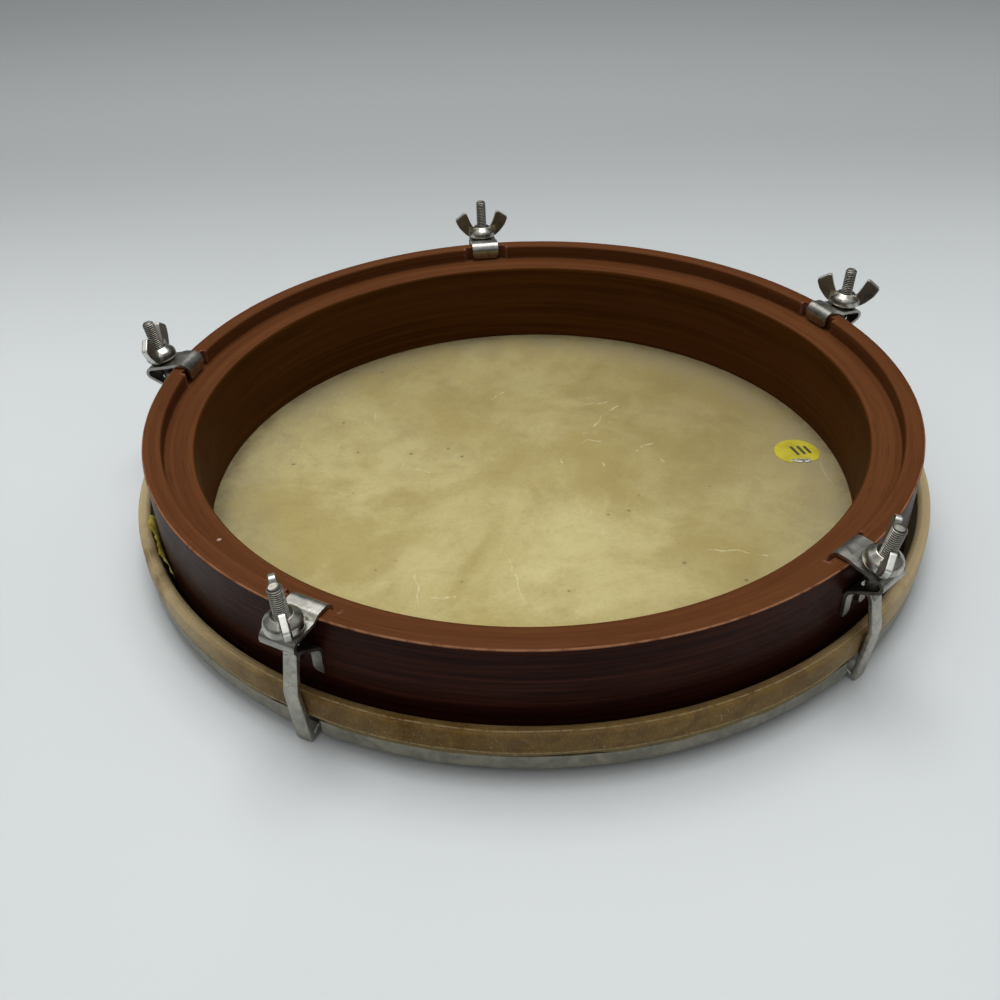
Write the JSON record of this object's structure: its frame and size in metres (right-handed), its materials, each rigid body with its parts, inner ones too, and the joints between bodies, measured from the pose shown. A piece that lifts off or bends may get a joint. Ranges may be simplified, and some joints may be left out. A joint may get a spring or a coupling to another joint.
{
  "type": "tunable frame drum",
  "caption": "Shallow round wooden hand drum, open at the back, with a natural skin stretched over the other side by a metal hoop, claws and wing nuts.",
  "frame": {"origin": "on the drum's axis, in the plane that the claws' feet stand on, 2.2 mm below the playing face", "axes": "+Z along the drum's axis, out of the open back; +X and +Y across the drum, with the sticker beside +X"},
  "size_m": [0.3182, 0.3202, 0.0663],
  "materials": {
    "shell_wood": "stained red-brown and varnished outside, worn and matt on the rim, ledge and inside",
    "hide": "dry natural skin, olive beige, smudged and finely scratched inside",
    "flesh_hoop": "plain, sealed inside the lapped skin",
    "hoop_steel": "satin, plated",
    "bracket_steel": "aged satin nickel plating, brighter on the bends",
    "claw_steel": "aged plated steel, matt and pitted on the flattened strap",
    "wing_nut_steel": "dark, tarnished, polished by use on the dome and wing edges",
    "sticker_paper": null,
    "edge_tape": "matt yellow tape"
  },
  "bodies": {
    "drum": {"shell": "shell_wood", "skin": "hide", "flesh_hoop": "flesh_hoop", "counter_hoop": "hoop_steel", "sticker": "sticker_paper", "edge_tape": "edge_tape", "bracket_1": "bracket_steel", "bracket_2": "bracket_steel", "bracket_3": "bracket_steel", "bracket_4": "bracket_steel", "bracket_5": "bracket_steel"},
    "claw_1": {"claw_1": "claw_steel"},
    "wing_nut_1": {"wing_nut_1": "wing_nut_steel"},
    "claw_2": {"claw_2": "claw_steel"},
    "wing_nut_2": {"wing_nut_2": "wing_nut_steel"},
    "claw_3": {"claw_3": "claw_steel"},
    "wing_nut_3": {"wing_nut_3": "wing_nut_steel"},
    "claw_4": {"claw_4": "claw_steel"},
    "wing_nut_4": {"wing_nut_4": "wing_nut_steel"},
    "claw_5": {"claw_5": "claw_steel"},
    "wing_nut_5": {"wing_nut_5": "wing_nut_steel"}
  },
  "joints": [
    {"name": "wing_nut_1_turn", "type": "hinge", "parent": "drum", "child": "wing_nut_1", "pos_m": [0.14397, 0.0641, 0.0472], "axis": [0.0637, 0.0284, 0.9976], "range_deg": [0, 1080]},
    {"name": "claw_1_slide", "type": "slide", "parent": "drum", "child": "claw_1", "axis": [0.0637, 0.0284, 0.9976], "range_m": [-0.0025, 0]},
    {"name": "wing_nut_2_turn", "type": "hinge", "parent": "drum", "child": "wing_nut_2", "pos_m": [-0.01781, 0.15629, 0.0472], "axis": [-0.0079, 0.0693, 0.9976], "range_deg": [0, 1080]},
    {"name": "claw_2_slide", "type": "slide", "parent": "drum", "child": "claw_2", "axis": [-0.0079, 0.0693, 0.9976], "range_m": [-0.0025, 0]},
    {"name": "wing_nut_3_turn", "type": "hinge", "parent": "drum", "child": "wing_nut_3", "pos_m": [-0.15386, 0.0327, 0.0472], "axis": [-0.1866, 0.0397, 0.9816], "range_deg": [0, 1080]},
    {"name": "claw_3_slide", "type": "slide", "parent": "drum", "child": "claw_3", "axis": [-0.1866, 0.0397, 0.9816], "range_m": [-0.0025, 0]},
    {"name": "wing_nut_4_turn", "type": "hinge", "parent": "drum", "child": "wing_nut_4", "pos_m": [-0.07722, -0.13704, 0.0472], "axis": [-0.0342, -0.0608, 0.9976], "range_deg": [0, 1080]},
    {"name": "claw_4_slide", "type": "slide", "parent": "drum", "child": "claw_4", "axis": [-0.0342, -0.0608, 0.9976], "range_m": [-0.0025, 0]},
    {"name": "wing_nut_5_turn", "type": "hinge", "parent": "drum", "child": "wing_nut_5", "pos_m": [0.1041, -0.11725, 0.0472], "axis": [0.1267, -0.1427, 0.9816], "range_deg": [0, 1080]},
    {"name": "claw_5_slide", "type": "slide", "parent": "drum", "child": "claw_5", "axis": [0.1267, -0.1427, 0.9816], "range_m": [-0.0025, 0]}
  ],
  "couplings": [
    {"joint": "claw_1_slide", "follows": "wing_nut_1_turn", "m_per_rad": -0.00012732},
    {"joint": "claw_2_slide", "follows": "wing_nut_2_turn", "m_per_rad": -0.00012732},
    {"joint": "claw_3_slide", "follows": "wing_nut_3_turn", "m_per_rad": -0.00012732},
    {"joint": "claw_4_slide", "follows": "wing_nut_4_turn", "m_per_rad": -0.00012732},
    {"joint": "claw_5_slide", "follows": "wing_nut_5_turn", "m_per_rad": -0.00012732}
  ]
}
